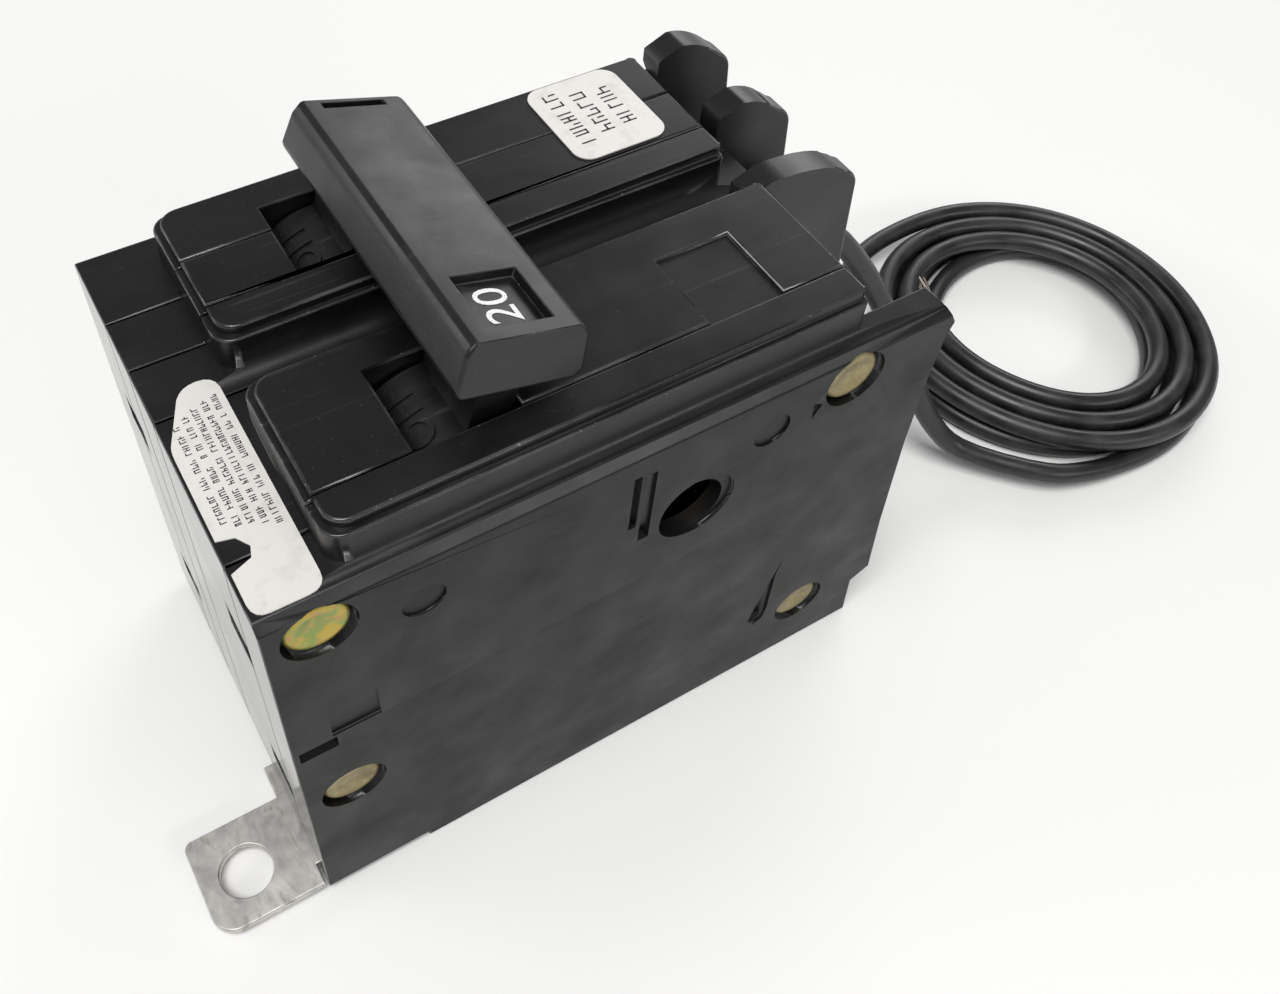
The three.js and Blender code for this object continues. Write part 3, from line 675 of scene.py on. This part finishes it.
class BREAKER_OT_leads(bpy.types.Operator):
    """Adds the two coiled leads with their stripped ends"""

    bl_idname = "breaker.leads"
    bl_label = "Leads"

    def execute(self, context):
        options = settings()
        radius = options.lead_diameter / 2
        insulation = pvc("black_pvc_insulation")
        tin = metal("tinned_strands", linear("#d9d2c8"), linear("#a9988a"), 0.34, grain_mm=0.15)
        rng = random.Random(5)
        insulated = options.lead_length - options.strip_length
        for index in range(2):
            path = [at(*p) for p in lead_path(index, insulated / MM)]
            lead = curve_object(f"control_lead_{index + 1}", [path], radius, insulation)
            along = (path[-1] - path[-3]).normalized()
            lines = strand_lines(path[-1] - along * MM, along, options.strip_length + MM, options.strands, radius, rng)
            strands = curve_object(f"stripped_end_{index + 1}", lines, 0.24 * MM, tin)
            for piece in (lead, strands):
                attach(piece, "case")
            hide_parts(f"lead_{index + 1}", "lead_coil")
        return {"FINISHED"}


# ---------------------------------------------------------------- case
def case_materials():
    options = settings()
    top = phenolic("moulded_phenolic_top", options.case_colour, options.case_dust, 0.30, 0.10)
    side = phenolic("moulded_phenolic_side", linear("#0f0e0e"), linear("#47433f"), 0.42, 0.12, ior=1.35)
    # Rubbed edge finish: real rubbing, and its pale grey second colour paints the bright highlight lines along the
    # rounded rims.
    worn_and_highlight = phenolic("rubbed_phenolic_edge_painted_highlight", linear("#141414"), linear("#a5a19d"), 0.20, 0.26)
    # Line-end face: glossier, with a lighter base and pale streaks that paint part of its bright grazing reflection.
    line_end_gloss_and_painted_reflection = phenolic("line_end_phenolic_painted_reflection", linear("#191818"), linear("#6a6662"), 0.10, 0.16, skin=0.04, ior=1.55)
    return [top, side, worn_and_highlight, line_end_gloss_and_painted_reflection]


class BREAKER_OT_shells(bpy.types.Operator):
    """Adds the five moulded shells with rounded edges"""

    bl_idname = "breaker.shells"
    bl_label = "Shells"

    def execute(self, context):
        materials = case_materials()
        round_mm = settings().edge_round / MM
        for node in SHELLS:
            bm = welded_copy(node)
            self.round_shell(bm, round_mm)
            for face in bm.faces:
                outer = abs(face.normal.y) > 0.9 and near(abs(face.calc_center_median().y), SIDE_Y, 0.6)
                if outer and face.material_index == 0:
                    face.material_index = 1
                # The line-end face takes the glossier copy with its painted reflection.
                if face.normal.x < -0.9 and near(face.calc_center_median().x, LINE_END_X, 0.3):
                    face.material_index = 3
            make_object(f"{node}_moulding", bm, materials, replaced=[node])
        return {"FINISHED"}

    def round_shell(self, bm, round_mm):
        rim = PLATFORM_Z
        lip = PLATFORM_Z - 1.0 * MM
        outside = at(0, 0, 0).x
        # Rounds given material 2 take the rubbed finish with its painted highlight lines: rim, lip, line-end edges and
        # barrier tips.
        soften(bm, lambda e: both(e, 2, rim) and e.calc_length() > 0.3 * MM, round_mm, 3, material=2)
        soften(bm, lambda e: both(e, 2, lip) and e.calc_face_angle_signed(0) > 0, round_mm * 0.8, 2, material=2)
        soften(bm, lambda e: both(e, 2, SHELF_Z, 0.12) and e.calc_face_angle_signed(0) > 0, round_mm * 0.8, 2)
        soften(bm, lambda e: both(e, 0, outside), round_mm, 2, material=2)
        soften(
            bm, lambda e: middle(e).x > at(78.5, 0, 0).x and middle(e).z > at(0, 0, 37).z, round_mm, 2, material=2,
        )
        soften(bm, lambda e: (both(e, 1, -SIDE_Y) or both(e, 1, SIDE_Y)) and on_outline(e), round_mm * 0.6, 2)


def on_outline(edge):
    """True near the top, the line end or the bottom of the case's side, and not at the marks inside it."""
    place = middle(edge)
    return place.z > SHELF_Z - 2.5 * MM or near(place.x, LINE_END_X, 0.3) or place.z < 1.6 * MM


class BREAKER_OT_rivets(bpy.types.Operator):
    """Adds the four long rivets with dished heads"""

    bl_idname = "breaker.rivets"
    bl_label = "Rivets"

    def execute(self, context):
        pale = metal("dull_brass_plated_rivet", linear("#a1946c"), linear("#756946"), 0.42, metallic=0.6)
        gold = yellow_chromate("yellow_chromated_rivet")
        for index, node in enumerate(RIVETS):
            low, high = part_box(node)
            centre = (low + high) / 2
            radius = (high.x - low.x) / 2
            top = high.y
            half = [
                (0, top - 0.34 * MM), (0.45 * radius, top - 0.30 * MM), (0.62 * radius, top - 0.07 * MM),
                (0.82 * radius, top), (0.94 * radius, top - 0.08 * MM), (radius, top - 0.3 * MM),
                (radius, top - 0.86 * MM), (1.78 * MM, top - 0.88 * MM),
            ]
            profile = half + [(r, -h) for r, h in reversed(half)]
            bm = bmesh.new()
            turned(bm, profile, Vector((centre.x, 0, centre.z)), segments=40)
            make_object(f"{node}_turned", bm, [gold if index == 0 else pale], replaced=[node])
        return {"FINISHED"}


# ---------------------------------------------------------------- handle
def handle_place(along, y, out):
    """A place on the handle in its own directions: across the bar, along Y, and out from the pivot."""
    turn = Matrix.Rotation(HANDLE_TILT, 4, "Y")
    return Matrix.Translation(HANDLE_PIVOT) @ turn @ Matrix.Translation((along, y, out))


class BREAKER_OT_handle(bpy.types.Operator):
    """Adds the handle bar, its number and the legends on its drums"""

    bl_idname = "breaker.handle"
    bl_label = "Handle"

    def execute(self, context):
        skin = phenolic("handled_thermoset", linear("#0f0e0e"), linear("#4d4a48"), 0.33, 0.13)
        # Rubbed edges of the bar's top: real rubbing, and a pale grey second colour that paints highlight lines along
        # them.
        worn_and_highlight = phenolic("handle_rubbed_edge_painted_highlight", linear("#151414"), linear("#8d8a87"), 0.22, 0.28)
        bm = welded_copy("handle_bar")
        to_handle = handle_place(0, 0, 0).inverted()
        inside = lambda v: to_handle @ v

        def bar_edge(edge):
            place = inside(middle(edge))
            ends = [inside(v.co) for v in edge.verts]
            long_edge = abs(ends[0].y - ends[1].y) > 20 * MM
            end_edge = abs(place.y) > 18 * MM
            window = abs(place.x) < 3.8 * MM and place.z > 19 * MM
            return place.z > 13.8 * MM and (long_edge or end_edge) and not window

        soften(bm, bar_edge, settings().handle_round / MM, 4, angle=15)
        # The top edges take material 1, the rubbed finish with its painted highlight lines.
        soften(bm, lambda e: inside(middle(e)).z > 19 * MM, 0.12, 2, material=1, angle=60)
        make_object("handle_bar_moulding", bm, [skin, worn_and_highlight], body="handle", replaced=["handle_bar"])
        self.number()
        self.legends(skin)
        return {"FINISHED"}

    def number(self):
        white = printed_ink("white_number_paint", linear("#f4f4f2"))
        quarter = Matrix.Rotation(math.pi / 2, 4, "Z")
        bm = text_bmesh("20", 4.9, 0.05, handle_place(0.25 * MM, -13.2 * MM, 19.34 * MM) @ quarter, 0.0)
        make_object("rating_number", bm, [white], body="handle", bevel_normals=False)

    def legends(self, skin):
        for pole, y in (("breaker", -12.65 * MM), ("shunt", 12.65 * MM)):
            whole = bmesh.new()
            for word, lean in (("OFF", -40), ("ON", 40)):
                letters = text_bmesh(word, 4.3, 0.6, Matrix.Identity(4), 0.07)
                bmesh.ops.subdivide_edges(
                    letters, edges=[e for e in letters.edges if e.calc_length() > 0.8 * MM], cuts=3,
                )
                for vert in letters.verts:
                    along, up, out = vert.co
                    angle = math.radians(lean) - up / DRUM_RADIUS
                    reach = DRUM_RADIUS + out
                    vert.co = handle_place(reach * math.sin(angle), y + along, reach * math.cos(angle)).translation
                join_bmesh(whole, letters)
            make_object(f"{pole}_drum_legend", whole, [skin], body="handle", bevel_normals=False)


# ---------------------------------------------------------------- labels
def print_marks(bm, rows, rng, thickness, gaps=0.16, weight=0.17):
    """Rows of small strokes that stand for fine print. A row is its start, its reading and rising directions, its
    length and the height of its marks."""
    for start, reading, rising, length, height in rows:
        along = 0.0
        while along < length:
            if rng.random() < gaps:
                along += height * 0.9
                continue
            width = height * rng.uniform(0.45, 0.7)
            stroke = height * weight
            bars = [(0, stroke, 0, height)]
            if rng.random() < 0.6:
                bars.append((width - stroke, width, 0, height * rng.choice((0.5, 1.0))))
            if rng.random() < 0.7:
                level = height * rng.choice((0.0, 0.42, 0.83))
                bars.append((0, width, level, level + stroke))
            for a0, a1, b0, b1 in bars:
                corner = start + reading * (along + a0) + rising * b0
                cube = bmesh.ops.create_cube(bm, size=1.0)["verts"]
                basis = Matrix((reading, rising, Vector((0, 0, 1)))).transposed().to_4x4()
                size = Matrix.Diagonal((a1 - a0, b1 - b0, thickness, 1))
                centre = corner + reading * (a1 - a0) / 2 + rising * (b1 - b0) / 2
                bmesh.ops.transform(bm, matrix=Matrix.Translation(centre) @ basis @ size, verts=cube)
            along += width + height * 0.28


class BREAKER_OT_labels(bpy.types.Operator):
    """Gives the two labels their film and print"""

    bl_idname = "breaker.labels"
    bl_label = "Labels"

    def execute(self, context):
        film = film_label("white_printed_film")
        ink = printed_ink("black_label_ink", linear("#2a2a2b"))
        rng = random.Random(11)
        for node in ("rating_label", "pole_label"):
            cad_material(node, film)
        bm = bmesh.new()
        toward = Vector((0, 1, 0))
        rising = Vector((-1, 0, 0))
        rows = [
            (2.0, -13.8, 12.0), (3.1, -14.6, 14.0), (4.2, -14.8, 14.6), (5.3, -15.4, 15.4), (6.4, -16.0, 16.4),
        ]
        z = LABEL_HIGH.z + 0.01 * MM
        lines = [(at(x, y, 0) * 1.0, toward, rising, length * MM, 0.62 * MM) for x, y, length in rows]
        for line in lines:
            line[0].z = z
        print_marks(bm, lines, rng, 0.02 * MM)
        make_object("rating_label_print", bm, [ink], bevel_normals=False)
        whole = bmesh.new()
        lines = []
        for x, y, length in ((55.0, 10.6, 8.6), (58.0, 11.4, 6.4), (61.0, 11.6, 7.2)):
            start = at(x, y, 0)
            start.z = POLE_LABEL_HIGH.z + 0.01 * MM
            lines.append((start, toward, rising, length * MM, 1.75 * MM))
        print_marks(whole, lines, rng, 0.02 * MM, gaps=0.0, weight=0.13)
        make_object("pole_label_print", whole, [ink], bevel_normals=False)
        return {"FINISHED"}


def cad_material(node, material):
    """Gives a CAD node that keeps its shape its material."""
    mesh = frame["nodes"][node].data
    mesh.materials.clear()
    mesh.materials.append(material)


# ---------------------------------------------------------------- terminals and mechanism
class BREAKER_OT_terminals(bpy.types.Operator):
    """Adds the line terminal, the terminal lug and its screw with broken edges"""

    bl_idname = "breaker.terminals"
    bl_label = "Terminals"

    def execute(self, context):
        tin = tinned_copper("hot_tinned_copper")
        steel = metal("zinc_plated_steel", linear("#b4b5b6"), linear("#86888b"), 0.36)
        for node, material, slot, body in (
            ("line_terminal", tin, "tinned_copper", "case"), ("terminal_lug", tin, "tinned_copper", "case"),
            ("lug_screw", steel, "steel", "lug_screw"),
        ):
            bm = welded_copy(node)
            soften(bm, lambda e: e.calc_length() > 0.3 * MM, 0.16, 2, angle=50)
            make_object(f"{node}_finished", bm, [material], body=body, replaced=[node])
        return {"FINISHED"}


class BREAKER_OT_mechanism(bpy.types.Operator):
    """Gives the pieces inside the case their finishes"""

    bl_idname = "breaker.mechanism"
    bl_label = "Mechanism"

    def execute(self, context):
        copper = metal("bare_copper", linear("#c98d68"), linear("#8f563a"), 0.34)
        silver = metal("silver_contact", linear("#e2e0da"), linear("#b9b6ae"), 0.30)
        steel = metal("zinc_plated_spring_steel", linear("#a9abad"), linear("#7d8084"), 0.38)
        bimetal = metal("rolled_bimetal", linear("#cdb684"), linear("#a08c62"), 0.32)
        fibre = moulded("vulcanised_fibre", linear("#7d4028"), linear("#5b2c1c"), 0.7)
        nylon = moulded("natural_nylon", linear("#d8cfb8"), linear("#b9ae94"), 0.48)
        rubber = moulded("black_rubber", linear("#1b1b1b"), linear("#2e2d2d"), 0.62)
        insulation = pvc("black_inner_insulation")
        finishes = {
            "copper": copper, "silver": silver, "steel": steel, "bimetal": bimetal, "fibre": fibre, "nylon": nylon,
            "rubber": rubber, "winding": winding_wire("enamelled_winding"), "lead": insulation,
        }
        kept = {"lug_screw", "lead_1", "lead_2", "lead_coil"}
        for entry in frame["record"]["subparts"]:
            finish = finishes.get(entry["material_slot"])
            if finish and entry["node"] not in kept:
                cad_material(entry["node"], finish)
        return {"FINISHED"}


# ---------------------------------------------------------------- panel and running
OPERATORS = [
    BREAKER_OT_stage, BREAKER_OT_leads, BREAKER_OT_shells, BREAKER_OT_rivets, BREAKER_OT_handle, BREAKER_OT_labels,
    BREAKER_OT_terminals, BREAKER_OT_mechanism,
]


class BREAKER_PT_panel(bpy.types.Panel):
    """Lists the breaker's pieces in the sidebar"""

    bl_idname = "BREAKER_PT_panel"
    bl_label = "Shunt-trip breaker"
    bl_space_type = "VIEW_3D"
    bl_region_type = "UI"
    bl_category = "Breaker"

    def draw(self, context):
        for operator in OPERATORS:
            self.layout.operator(operator.bl_idname)
        for name in BreakerSettings.__annotations__:
            self.layout.prop(context.scene.breaker, name)


def register():
    for cls in (BreakerSettings, *OPERATORS, BREAKER_PT_panel):
        bpy.utils.register_class(cls)
    bpy.types.Scene.breaker = PointerProperty(type=BreakerSettings)


def unregister():
    del bpy.types.Scene.breaker
    for cls in reversed((BreakerSettings, *OPERATORS, BREAKER_PT_panel)):
        bpy.utils.unregister_class(cls)


def main():
    register()
    for operator in OPERATORS:
        group, name = operator.bl_idname.split(".")
        getattr(getattr(bpy.ops, group), name)()


if __name__ == "__main__":
    main()
